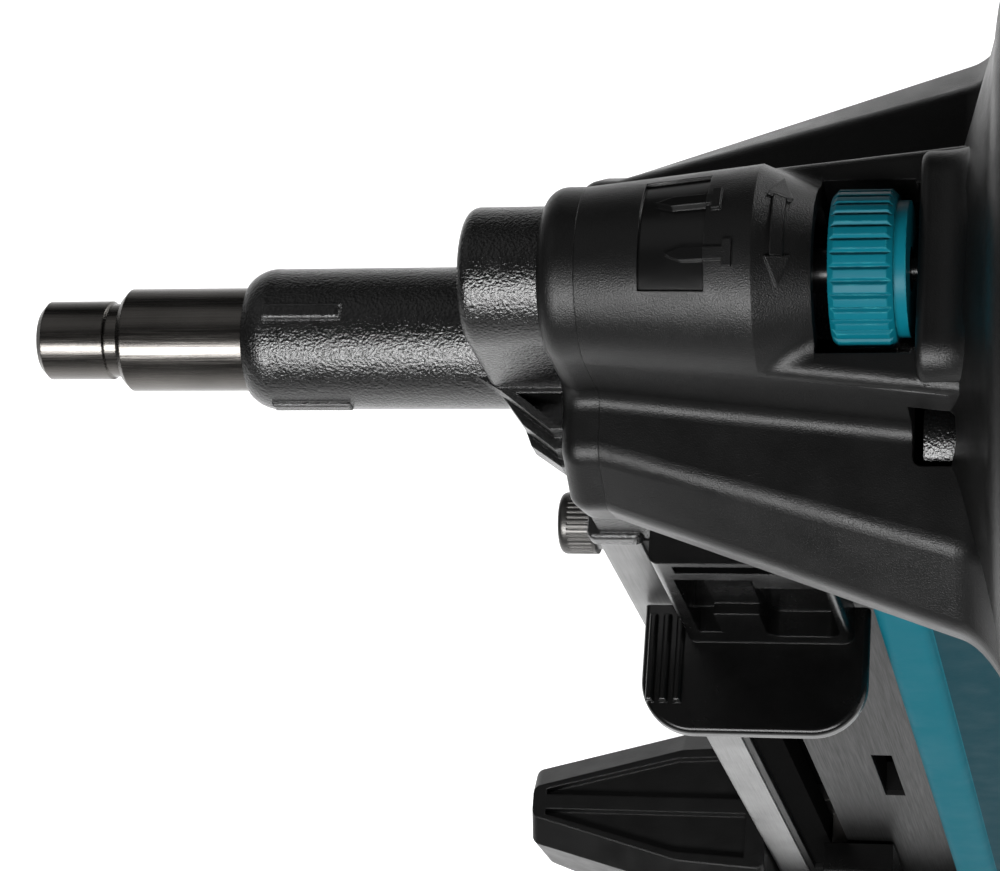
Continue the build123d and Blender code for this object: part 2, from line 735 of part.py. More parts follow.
def driver_blade():
    return rod_x(BLADE_RADIUS, 117.5, PISTON_FRONT + 6)


def combustion_sleeve():
    body = tube_x(
        CHAMBER_SLEEVE_RADIUS, SLEEVE_BORE, CHAMBER_SLEEVE_START, CHAMBER_SLEEVE_END
    )
    for angle in range(20, 380, 60):
        port = rod_z(5, SLEEVE_BORE - 2, CHAMBER_SLEEVE_RADIUS + 2, CHAMBER_SLEEVE_START + 8)
        body -= Rot(angle, 0, 0) * port
    return body


def chamber_head():
    body = rod_x(SLEEVE_BORE - 0.1, HEAD_FACE, HEAD_FLANGE)
    body += rod_x(HOUSING_RADIUS - HOUSING_WALL - 0.05, HEAD_FLANGE, HOUSING_END)
    body -= tube_x(SLEEVE_BORE + 1, SLEEVE_BORE - 2.6, SEAL_X, SEAL_X + 3)
    body -= rod_x(FAN_SHAFT_RADIUS + SLIDE, HEAD_FACE - 1, HOUSING_END + 1)
    body -= rod_x(4, HEAD_FACE - 1, HOUSING_END + 1, 0, PLUG_Z)
    body -= rod_x(1.2, HEAD_FLANGE - 1, HEAD_FLANGE + 2, 0, TUBE_Z)
    body -= rod_z(1.2, TUBE_Z, GAS_Z, HEAD_FLANGE + 2)
    body -= rod_x(1.2, HEAD_FACE - 1, HEAD_FLANGE + 2, 0, GAS_Z)
    for angle in (60, 180, 300):
        body -= Rot(angle, 0, 0) * rod_x(3, HEAD_FLANGE - 1, HOUSING_END + 1, 0, 45.5)
    return body


def head_seal():
    return tube_x(SLEEVE_BORE - 0.06, SLEEVE_BORE - 2.6, SEAL_X + 0.1, SEAL_X + 2.9)


def fan():
    hub = rod_x(7, *FAN_X)
    blade = Pos(sum(FAN_X) / 2, 0, 16) * Rot(0, 0, 38) * Box(15, 1.6, 23)
    body = hub
    for i in range(FAN_BLADES):
        body += Rot(360 / FAN_BLADES * i, 0, 0) * blade
    return body - rod_x(FAN_SHAFT_RADIUS, FAN_X[0] - 1, FAN_X[1] + 1)


def fan_shaft():
    return rod_x(FAN_SHAFT_RADIUS, FAN_X[0], MOTOR_START + 19)


def fan_motor():
    body = rod_x(MOTOR_RADIUS, MOTOR_START, MOTOR_END)
    body = fillet(body.faces().sort_by(Axis.X)[-1].edges(), 2)
    return body - rod_x(FAN_SHAFT_RADIUS + SLIDE, MOTOR_START - 1, MOTOR_START + 20)


def motor_mount():
    """Clamp ring with three feet on the chamber head."""
    ring = tube_x(MOTOR_RADIUS + 4, MOTOR_RADIUS + 0.05, MOTOR_START, MOTOR_START + 18)
    foot = block((MOTOR_START, MOTOR_START + 4), (-5, 5), (MOTOR_RADIUS + 2, 30))
    for angle in (60, 180, 300):
        ring += Rot(angle, 0, 0) * foot
    return ring - rod_x(MOTOR_RADIUS + 0.05, MOTOR_START - 1, MOTOR_START + 19)


def spark_plug():
    body = rod_x(4, HEAD_FACE, HOUSING_END, 0, PLUG_Z)
    body += rod_x(5.5, HOUSING_END, HOUSING_END + 6, 0, PLUG_Z)
    body += rod_x(3, HOUSING_END + 6, HOUSING_END + 22, 0, PLUG_Z)
    return body + rod_x(1.2, HEAD_FACE - 4, HEAD_FACE, 0, PLUG_Z)


def probe_return_spring():
    """Return spring behind the combustion sleeve, as a plain sleeve."""
    return tube_x(CHAMBER_SLEEVE_RADIUS, SLEEVE_BORE + 0.6, CHAMBER_SLEEVE_END, HEAD_FLANGE - 0.4)


def rear_cap():
    outer = rod_x(HOUSING_RADIUS, HOUSING_END, REAR_CAP_END)
    outer = fillet(outer.faces().sort_by(Axis.X)[-1].edges(), 4)
    body = outer - rod_x(HOUSING_RADIUS - HOUSING_WALL, HOUSING_END - 1, REAR_CAP_END - 4)
    for angle in range(0, 360, 45):
        body -= Rot(angle, 0, 0) * rod_x(8, REAR_CAP_END - 5, REAR_CAP_END + 1, 0, 28)
    for angle in (50, 70, 90, 110, 130, 230, 250, 270, 290, 310):
        body -= Rot(angle, 0, 0) * block((HOUSING_END + 10, REAR_CAP_END - 16), (-2.2, 2.2), (44, 60))
    return body


def air_filter():
    return tube_x(40, 12, REAR_CAP_END, REAR_CAP_END + 9)


def filter_cover():
    outer = rod_x(48, REAR_CAP_END, FILTER_END)
    outer = fillet(outer.faces().sort_by(Axis.X)[-1].edges(), 8)
    body = outer - rod_x(45, REAR_CAP_END - 1, FILTER_END - 3)
    for i in range(-3, 4):
        half = 30 - 5 * abs(i)
        body -= block((FILTER_END - 5, FILTER_END + 1), (-half, half), (9 * i - 1.6, 9 * i + 1.6))
    return body


# Housing


def column_outer():
    column = plan(mirrored_plan([(COLUMN_FRONT, COLUMN_HALF), (COLUMN_REAR, COLUMN_HALF)]),
                  BASE_Z, -30, 4)
    band = plan(mirrored_plan([(COLUMN_FRONT, BAND_HALF), (BAND_END, BAND_HALF)]), BASE_Z, -30, 2)
    return column + band


def handle_side(shrink=0.0):
    """Side face of the pistol handle between its front and rear curves."""
    front = [(HANDLE_FRONT + shrink + x, z) for x, z in FRONT_CURVE]
    rear = [(HANDLE_REAR - shrink + x, z) for x, z in REAR_CURVE]
    edges = [Spline(*front), Line(front[-1], rear[-1]), Spline(*rear[::-1]), Line(rear[0], front[0])]
    return Plane.XZ * make_face(edges)


def handle_outer():
    handle = extrude(handle_side(), amount=HANDLE_HALF, both=True)
    edges = [e for e in handle.edges() if abs(abs(e.center().Y) - HANDLE_HALF) < 0.01]
    uprights = [e for e in edges if e.bounding_box().size.Z > 50]
    return fillet(uprights, 9)


def bridge_outer():
    return side(
        [(COLUMN_FRONT + 8, BASE_Z), (COLUMN_FRONT + 8, BRIDGE_TOP), (BRIDGE_END, BRIDGE_TOP),
         (BRIDGE_END, BASE_Z)], -BRIDGE_HALF, BRIDGE_HALF, 5)


def housing_outer():
    body = rod_x(HOUSING_RADIUS, COVER_END, HOUSING_END)
    body += handle_outer()
    body += bridge_outer()
    body += column_outer()
    return body


def housing_cavity():
    """Everything cut from the housing: engine room, column, handle, bridge, sockets."""
    wall = HOUSING_WALL
    room = rod_x(HOUSING_RADIUS - wall, COVER_END - 1, HOUSING_END + 1)
    cover_seat = rod_x(BODY_RADIUS + 0.3, COVER_FLARE_END - 20, COVER_END)
    nose_seat = block((COLUMN_FRONT - 1, 137), (-60, 60), (-34, 0))
    column = block((121.8, COLUMN_REAR - wall), (-16.6, 16.6), (BASE_Z + wall, -40))
    groove = block((COLUMN_FRONT - 1, 118), (-10, 10), (BASE_Z - 1, -30))
    handle = extrude(handle_side(wall), amount=HANDLE_HALF - wall, both=True)
    bridge = block((COLUMN_REAR, 306), (-18, 18), (BASE_Z + wall, BRIDGE_TOP - wall))
    socket = block((309, BRIDGE_END + 1), (-17.5, 17.5), (BASE_Z + wall, BRIDGE_TOP - wall))
    trigger_way = block((HANDLE_FRONT - 9, 275), (-8.9, 8.9), TRIGGER_Z)
    door_way = block(DOOR_X, (-15.6, 15.6), (BASE_Z - 1, BASE_Z + 5))
    hinge_way = rod_y(2.05, -17.5, 17.5, *DOOR_PIN)
    hinge_way += block((158, COLUMN_REAR + 1), (-7.5, 7.5), (BASE_Z - 1, BASE_Z + 8.5))
    return (room + cover_seat + nose_seat + column + groove + handle + bridge + socket
            + trigger_way + door_way + hinge_way)


def barrel_marks():
    """Shallow side panels in the barrel and a fine groove along its top seam."""
    x0, x1 = PANEL_SPAN
    sunk = HOUSING_RADIUS - 0.9
    skin = tube_x(HOUSING_RADIUS + 1, sunk, COVER_END + 1.5, HOUSING_END - 1.5)
    panel = side([(x0, -PANEL_RISE), (x1, -PANEL_RISE), (x1, PANEL_RISE), (x0, PANEL_RISE)], -60, 60, 9)
    seam = block((COVER_END, HOUSING_END), (-0.35, 0.35), (40, 60))
    return skin & (panel + seam)


def housing():
    body = housing_outer() - housing_cavity() - barrel_marks()
    for angle in VENT_ANGLES:
        body -= Rot(angle, 0, 0) * block(VENT_X, (-2, 2), (HOUSING_RADIUS - 8, HOUSING_RADIUS + 4))
    for x, z, half in SCREW_PLACES:
        body += rod_y(BOSS_OUTER, 1 - half, half - 1, x, z)
        body -= rod_y(BOSS_BORE, -40, half - 3, x, z)
        body -= rod_y(3.8, -40, 4 - half, x, z)
    return body


def halves(solid):
    """Left and right half of the housing, split on the middle plane."""
    left = solid & block((0, 500), (-100, 0), (-400, 100))
    right = solid & block((0, 500), (0, 100), (-400, 100))
    return left, right


def housing_screws():
    screws = []
    for x, z, half in SCREW_PLACES:
        head = rod_y(3.6, 1.2 - half, 4 - half, x, z)
        shank = rod_y(2.0, 4 - half, half - 3.2, x, z)
        slot = block((x - 3, x + 3), (-40, 2.2 - half), (z - 0.5, z + 0.5))
        screws.append(head + shank - slot)
    return screws


def handle_grip():
    """Soft pad that follows the back of the handle, ribbed across."""
    band = block((HANDLE_REAR - 30, HANDLE_REAR + 40), (-GRIP_HALF, GRIP_HALF), GRIP_Z)
    pad = extrude(handle_side(-GRIP_THICK), amount=GRIP_HALF, both=True) & band
    pad -= block((0, HANDLE_REAR - 16), (-40, 40), (-400, 0))
    step = (GRIP_Z[1] - GRIP_Z[0]) / (GRIP_RIBS + 1)
    core = extrude(handle_side(-GRIP_THICK + 1), amount=40, both=True)
    for i in range(GRIP_RIBS):
        z = GRIP_Z[0] + step * (i + 1)
        pad -= block((HANDLE_REAR - 20, HANDLE_REAR + 40), (-20, 20), (z - 1.2, z + 1.2)) - core
    return pad - handle_outer()


def trigger():
    z0, z1 = TRIGGER_Z
    body = side(
        [(HANDLE_FRONT - 11, z1 - 1), (HANDLE_FRONT - 8, -78), (HANDLE_FRONT - 10, z0 + 1),
         (HANDLE_FRONT + 6, z0 + 1), (HANDLE_FRONT + 6, z1 - 1)], -8.4, 8.4)
    front = [e for e in body.edges() if abs(abs(e.center().Y) - 8.4) < 0.01
             and e.center().X < HANDLE_FRONT - 6]
    return fillet(front, 2.5)


def trigger_switch():
    return block((276, 292), (-8, 8), (-92, -66)) + block((275, 276), (-2, 2), (-80, -76))


def trigger_spring():
    return rod_x(3, HANDLE_FRONT + 6, 276, 0, -86)


def control_board():
    """Upright circuit board in the bridge with its large components."""
    board = block((176, 177.6), (-16, 16), (-322, -292))
    board += block((177.6, 186), (-12, 2), (-318, -304))
    for y in (6, 11):
        board += rod_x(2.2, 177.6, 190, y, -300)
    return board


# Fuel


def fuel_cell():
    body = rod_z(16, BASE_Z + 7, -212, FUEL_X)
    body = fillet(body.edges(), 3)
    return body + rod_z(6, -212, -200, FUEL_X)


def fuel_valve():
    return block((FUEL_X - 12, FUEL_X + 12), (-10, 10), (-200, -170))


def fuel_tube():
    """Gas line from the valve up into the cover and back to the chamber head."""
    rise = rod_z(TUBE_RADIUS, -170, TUBE_Z, TUBE_X)
    return rise + rod_x(TUBE_RADIUS, TUBE_X - TUBE_RADIUS, HEAD_FLANGE, 0, TUBE_Z)


def fuel_door():
    x0, x1 = DOOR_X
    z = (BASE_Z + 0.3, BASE_Z + 3)
    plate = block((x0 + CLEAR, x1 - 5.2), (-15.2, 15.2), z) + block((x0 + 20, x1 - CLEAR), (-7, 7), z)
    arm = block((x1 - 6, DOOR_PIN[0]), (-7, 7), (BASE_Z + 2, BASE_Z + 6))
    barrel = rod_y(3.2, -7, 7, *DOOR_PIN)
    return plate + arm + barrel - rod_y(2.05, -8, 8, *DOOR_PIN)


def fuel_door_pin():
    return rod_y(2, -17.4, 17.4, *DOOR_PIN)


# Battery


def battery_case():
    tongue = block((312, BRIDGE_END + 0.5), (-17, 17), (BASE_Z + 3.5, BRIDGE_TOP - 3.5))
    front = BRIDGE_END + 0.5
    body = plan(mirrored_plan([(front, 21), (BATTERY_END, 21)]), BASE_Z, BRIDGE_TOP, 4)
    body = fillet(body.faces().sort_by(Axis.Z)[-1].edges(), 2.5)
    for z in BATTERY_GROOVES:
        band = block((BATTERY_END - 6, BATTERY_END + 1), (-30, 30), (z, z + GROOVE_WIDTH))
        inside = mirrored_plan([(front, 21 - GROOVE_DEPTH), (BATTERY_END - GROOVE_DEPTH, 21 - GROOVE_DEPTH)])
        body -= band - plan(inside, BASE_Z, BRIDGE_TOP, 3)
    for sign in (-1, 1):
        y = sorted((sign * 15, sign * 30))
        body -= block((BUTTON_X[0] - CLEAR, BUTTON_X[1] + CLEAR), y, (-316 - CLEAR, -300 + CLEAR))
    contacts = block((311, 321), (-12, 12), (-312, -304))
    return tongue + body - contacts


def battery_button(sign):
    y = sorted((sign * 18, sign * 22.5))
    return block(BUTTON_X, y, (-316, -300))


def battery_terminals():
    return [block((312, 321), (y - 1, y + 1), (-312, -304)) for y in (-8, 0, 8)]


# Magazine


def magazine_front_rail():
    """Bare metal channel along the front edge of the magazine."""
    outer = block((MAG_FRONT, MAG_FRONT + RAIL_WIDTH), (-MAG_HALF, MAG_HALF), (MAG_BOTTOM, MAG_TOP))
    outer = fillet(outer.edges().filter_by(Axis.Z).group_by(Axis.X)[0], 1.2)
    inside = MAG_HALF - SHEET
    outer -= block((MAG_FRONT + SHEET, MAG_REAR), (-inside, inside), (MAG_BOTTOM - 1, MAG_TOP + 1))
    outer += rod_x(4.2, MAG_FRONT - RAIL_BOSS, MAG_FRONT + 0.2, *UPPER_SCREW)
    return outer - rod_x(3.1, MAG_FRONT - 5, MAG_FRONT + 3, *UPPER_SCREW)


def magazine_side(sign):
    """Side plate behind the rail; the left one has a long window for the knob and a sight slot."""
    y = sorted((sign * (MAG_HALF - SHEET), sign * (MAG_HALF - 0.4)))
    plate = block((MAG_FRONT + RAIL_WIDTH, MAG_REAR), y, (MAG_BOTTOM, MAG_TOP))
    plate -= block((102, 106), y, (-226, -194))
    if sign < 0:
        plate -= block(PLATE_WINDOW, y, (MAG_BOTTOM + 6, -100))
    return plate


def magazine_guide(sign):
    """One side of the inner guide; the two leave the nail passage between them."""
    inside = MAG_HALF - SHEET - 0.02
    y = sorted((0, sign * inside))
    body = block((MAG_FRONT + SHEET, MAG_REAR), y, (MAG_BOTTOM, TONGUE_BOTTOM - 0.2))
    body -= nail_slot(MAG_BOTTOM - 1, MAG_TOP)
    body -= block((102, 106), (-inside - 1, inside + 1), (-226, -194))
    if sign < 0:
        return body - block(KNOB_SLOT, (-inside - 1, 0), (MAG_BOTTOM + 6, -100))
    return body - block((80, 88), (SHANK_HALF - 1, 6), (-110, -96))


def follower():
    z = (FOLLOWER_TOP - FOLLOWER_LENGTH, FOLLOWER_TOP)
    body = block((MAG_FRONT + 3, MAG_REAR - 2.6), (-SHANK_HALF + 0.35, SHANK_HALF - 0.35), z)
    stem = block((KNOB_SLOT[0] + 0.4, KNOB_SLOT[1] - 0.4), (-MAG_HALF - 0.6, 0), (-290, -274))
    return body + stem


def follower_knob():
    """Thumb piece on the follower's stem, outside the left plate."""
    body = block((85, 100), (-MAG_HALF - 8.6, -MAG_HALF - 0.6), (-296, -266))
    body = fillet(body.faces().sort_by(Axis.Y)[0].edges(), 2.5)
    for i in range(3):
        z = -274 - 7 * i
        body -= block((84, 101), (-30, -MAG_HALF - 7.6), (z - 1, z + 1))
    return body


def follower_spring():
    """Rolled strip spring in its pocket near the top of the magazine."""
    return rod_y(3.6, SHANK_HALF + 0.6, 5.8, 84, -103)


def latch_pockets():
    """Hollows in the latch's face: a slot, a step and a deep thumb pocket."""
    deep = side([(95.4, -64), (107.4, -64), (107.4, -90), (95.4, -90)], -20, -12)
    deep = fillet(deep.edges().filter_by(Axis.Y).group_by(Axis.Z)[0], 2.5)
    upper = block((85, 107), (-20, -12.5), (-57, -53.5))
    ramp = side([(88, -60), (96.5, -60), (96.5, -78), (88, -78)], -20, -14.5)
    slot = block((84.3, 88), (-20, -12), (-88, -60))
    return deep + upper + ramp + slot


def magazine_latch():
    """Latch with pockets in its face and a wide thumb tab; it slides forward."""
    body = block(LATCH_X, (-16.5, -10.2), (TAB_Z[0], -52))
    body = fillet(body.edges().filter_by(Axis.Z).group_by(Axis.Y)[0], 1.5)
    body -= latch_pockets()
    x0, x1 = TAB_X
    tab = plan([(x0, -10.2), (x1, -10.2), (x1, TAB_EDGE), (x0, TAB_EDGE)], *TAB_Z)
    tab = fillet(tab.edges().filter_by(Axis.Z).group_by(Axis.Y)[0], 9)
    rims = tab.faces().sort_by(Axis.Z)
    tab = fillet(rims[-1].edges().filter_by_position(Axis.Y, TAB_EDGE - 1, -12)
                 + rims[0].edges().filter_by_position(Axis.Y, TAB_EDGE - 1, -12), 1)
    for i in range(3):
        ridge = block((x0 + 1 + 2.3 * i, x0 + 2.3 + 2.3 * i), (-27, -12), (TAB_Z[1] - 1, TAB_Z[1] + 1.2))
        tab += fillet(ridge.faces().sort_by(Axis.Z)[-1].edges(), 0.5)
    return body + tab


def latch_spring():
    """Coil spring between the latch and the housing's column."""
    wire = 0.45
    coil_radius = 1.75
    gap = COLUMN_FRONT - LATCH_X[1]
    path = Helix(gap / 4.5, gap - 2 * wire, coil_radius)
    start = Plane(origin=path @ 0, z_dir=path % 0)
    coil = sweep(start * Circle(wire), path)
    return Pos(LATCH_X[1] + wire, -13.4, -66) * Rot(0, 90, 0) * coil


def foot_front():
    """Forward reach of the foot: bevelled sides and two gutters beside a spine."""
    bevel = 5
    base = [(FOOT_FRONT, 8.3), (51, 17.6), (70.6, 19)]
    top = [(FOOT_FRONT + 0.5, 8.3 - bevel)] + [(x, y - bevel) for x, y in base[1:]]
    body = plan(mirrored_plan(base), BASE_Z, FOOT_TOP - bevel, 2)
    rim = [Plane.XY.offset(z) * rounded(mirrored_plan(half), 2)
           for z, half in ((FOOT_TOP - bevel, base), (FOOT_TOP, top))]
    body += loft(rim, ruled=True)
    for sign in (-1, 1):
        gutter = [(20.5, 1.7), (66, 1.7), (66, 11.5), (50, 10.6), (20.5, 2.9)]
        body -= plan([(x, sign * y) for x, y in gutter], FOOT_TOP - 2.5, FOOT_TOP + 1)
    under = [(FOOT_FRONT - 1, -300), (FOOT_FRONT - 1, -340), (60, -340), (48, BASE_Z + 12)]
    return body - side(under, -30, 30)


def support_foot():
    """Foot under the magazine that reaches forward to steady the tool."""
    rear = plan(mirrored_plan([(60, 18.4), (COLUMN_FRONT - 0.5, 19)]), BASE_Z, MAG_BOTTOM - 0.1, 3)
    pocket = block((MAG_FRONT - 0.3, MAG_REAR), (-9.8, 9.8), (MAG_BOTTOM, FOOT_TOP + 5))
    return foot_front() + rear - pocket - nail_slot(BASE_Z - 1, MAG_BOTTOM + 1)


# Writing


def all_parts():
    left, right = halves(housing())
    named = [
        contact_probe, contact_rod, contact_link, probe_return_spring, nose_casting,
        nose_cover_ring, nose_cover, nose_screws, depth_wheel, depth_spindle, depth_stop,
        cylinder, bumper, piston, piston_ring, driver_blade, combustion_sleeve, chamber_head,
        cylinder_seal, head_seal, fan, fan_shaft, fan_motor, motor_mount, spark_plug,
        rear_cap, air_filter, filter_cover, housing_screws, handle_grip, trigger,
        trigger_switch, trigger_spring, control_board, fuel_cell, fuel_valve, fuel_tube,
        fuel_door, fuel_door_pin, battery_case, battery_terminals, magazine_front_rail,
        magazine_screws, follower, follower_knob, follower_spring,
        magazine_latch, latch_spring, support_foot,
    ]
    parts = {make.__name__: make() for make in named}
    parts["housing_left"] = left
    parts["housing_right"] = right
    parts["battery_button_left"] = battery_button(-1)
    parts["battery_button_right"] = battery_button(1)
    parts["magazine_side_left"] = magazine_side(-1)
    parts["magazine_side_right"] = magazine_side(1)
    parts["magazine_guide_left"] = magazine_guide(-1)
    parts["magazine_guide_right"] = magazine_guide(1)
    return parts


def main():
    os.makedirs("parts", exist_ok=True)
    for name, shape in all_parts().items():
        if isinstance(shape, list):
            shape = Compound(children=shape)
        export_step(shape, f"parts/{name}.step")


main()
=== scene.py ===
import json
import math
from functools import partial

import bpy
from mathutils import Matrix, Vector


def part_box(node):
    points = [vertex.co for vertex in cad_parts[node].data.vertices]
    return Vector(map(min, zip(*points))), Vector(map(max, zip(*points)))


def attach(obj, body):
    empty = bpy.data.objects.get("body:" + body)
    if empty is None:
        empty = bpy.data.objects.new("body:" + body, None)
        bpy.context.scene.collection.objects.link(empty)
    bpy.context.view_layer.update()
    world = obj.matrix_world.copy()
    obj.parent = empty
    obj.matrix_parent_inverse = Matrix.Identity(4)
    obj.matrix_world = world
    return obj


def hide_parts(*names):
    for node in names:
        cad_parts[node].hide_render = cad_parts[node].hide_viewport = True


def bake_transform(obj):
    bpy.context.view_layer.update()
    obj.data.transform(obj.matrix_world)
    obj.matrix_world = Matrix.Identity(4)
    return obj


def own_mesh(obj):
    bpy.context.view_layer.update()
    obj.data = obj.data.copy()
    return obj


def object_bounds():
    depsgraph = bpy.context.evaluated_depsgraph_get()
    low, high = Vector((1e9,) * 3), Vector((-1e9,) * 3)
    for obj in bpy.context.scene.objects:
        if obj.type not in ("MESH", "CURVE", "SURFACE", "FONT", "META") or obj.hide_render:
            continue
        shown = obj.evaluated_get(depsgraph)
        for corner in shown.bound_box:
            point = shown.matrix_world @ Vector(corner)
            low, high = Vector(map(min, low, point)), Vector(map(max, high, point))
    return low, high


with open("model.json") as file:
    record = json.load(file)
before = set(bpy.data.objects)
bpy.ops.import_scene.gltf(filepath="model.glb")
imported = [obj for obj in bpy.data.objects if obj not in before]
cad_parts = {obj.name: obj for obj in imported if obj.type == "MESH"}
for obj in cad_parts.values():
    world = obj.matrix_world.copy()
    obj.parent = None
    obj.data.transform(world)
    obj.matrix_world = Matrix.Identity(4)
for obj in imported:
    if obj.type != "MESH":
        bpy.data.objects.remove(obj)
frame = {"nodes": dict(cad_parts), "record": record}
cad_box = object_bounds()
nodes = frame["nodes"]

MM = 0.001

# View: the photograph's camera, in metres and pixels of a 1000 x 871 image
IMAGE_WIDTH = 1000
CAMERA_PLACE = Vector((0.1643, -0.1636, 0.4009))
CAMERA_RIGHT = Vector((0.9760, 0.0763, -0.2039))
CAMERA_UP = Vector((-0.0006, 0.9374, 0.3482))
CAMERA_FOCUS_PX = 3132
CAMERA_NEAR = 0.01
SENSOR_MM = 36

# Studio: the floor lies below the reach of the open fuel door
FLOOR_GAP = 0.04
FLOOR_SIZE = 100
FLOOR_MIDDLE = (0.08, 0.05)
FLOOR_COLOUR = (0.62, 0.62, 0.62)
FLOOR_ROUGHNESS = 0.9
FLOOR_GLOW = 0.86
FLOOR_GLOW_FAR = 0.3
FLOOR_FADE = (0.30, 0.85)
WORLD_LIGHT = 0.035

# Lamps: place, aim and size in metres, and watts
UPPER_AIM = (0.1, 0, -0.02)
LOWER_AIM = (0.22, 0, -0.15)
LAMPS = {
    "key": ((0.05, -0.77, 0.70), UPPER_AIM, (1.1, 0.30), 20),
    "fill": ((-0.5, 0.5, 0.8), UPPER_AIM, (0.8, 0.8), 0.6),
    "far_side": ((0.95, 0.80, 0.05), LOWER_AIM, (0.9, 0.5), 9),
    "rear": ((1.15, -0.1, 0.10), LOWER_AIM, (0.7, 0.5), 3),
}

# Painted shade: darker teal boxes on the column's sides, where they lie in shade: x, distance from the
# middle plane and z, in metres
COLUMN_PAINTED_SHADE = ((0.1235, 0.166), (0.0185, 0.0203), (-0.284, -0.05))

# Polished field behind the depth signs: z of the bulge's axis and x in metres, angles in degrees
SIGN_FIELD = (0.0209, (0.0932, 0.102), (-46, 30.6))
POLISHED_ROUGHNESS = 0.24
POLISHED_HEIGHT = 0.5

# Edges: cosines between the plain and the softened normal where the lighter edge colour (wear, and on
# the teal also a painted highlight) begins and where it is full
EDGE_COSINES = (0.99, 0.80)
BEVEL_SAMPLES = 4
WEAR_AND_HIGHLIGHT_PATCH = 2.2 * MM
WEAR_AND_HIGHLIGHT_LIMITS = (0.45, 0.7)

# Limits that hold most of a noise's values
MIDDLE_NOISE = (0.3, 0.7)

# Coil springs: wire radius in millimetres and number of turns
COILS = {
    "probe_return_spring": (1.2, 3),
    "trigger_spring": (0.4, 5),
    "latch_spring": (0.4, 5),
}
COIL_STEPS = 28
WIRE_SIDES = 10


